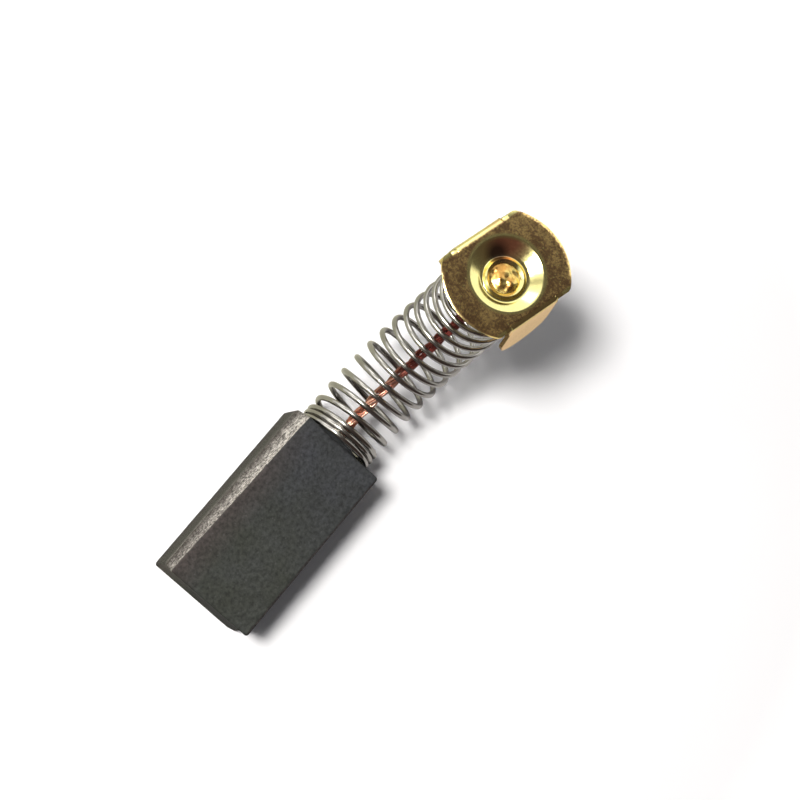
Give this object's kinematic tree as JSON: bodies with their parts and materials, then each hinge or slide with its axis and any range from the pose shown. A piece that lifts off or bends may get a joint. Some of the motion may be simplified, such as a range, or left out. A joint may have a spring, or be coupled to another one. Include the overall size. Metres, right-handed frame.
{
  "type": "carbon brush",
  "caption": "Carbon brush for a small motor: ground carbon block, bent coil spring around a copper shunt, and a pressed brass cap with a welded eyelet and side ears",
  "frame": {"origin": "centre of the block's spring end, on the line along which the brush slides", "axes": "+X from the block towards the spring, +Z square to the wide face from which the spring bends up, +Y across the block"},
  "size_m": [0.0433, 0.0117, 0.0227],
  "materials": {
    "carbon": "baked carbon-graphite, ground, dull with a fine grain",
    "tamping_powder": "tamped copper powder, dull",
    "spring_steel": "drawn spring wire, bright",
    "copper": "bare stranded copper",
    "brass": "pressed brass sheet, bright with fine scratches",
    "weld": "resistance weld, heat tinted"
  },
  "bodies": {
    "brush": {"carbon_block": "carbon", "tamping_plug": "tamping_powder", "spring": "spring_steel", "shunt": "copper"},
    "cap": {"terminal_cap": "brass", "shunt_weld": "weld"}
  },
  "joints": [
    {"name": "spring_compression", "type": "slide", "parent": "brush", "child": "cap", "axis": [-0.7187, -0.0405, -0.6942], "range_m": [0, 0.008], "stiffness_N_per_m": 160, "deforming": ["spring", "shunt"]}
  ]
}
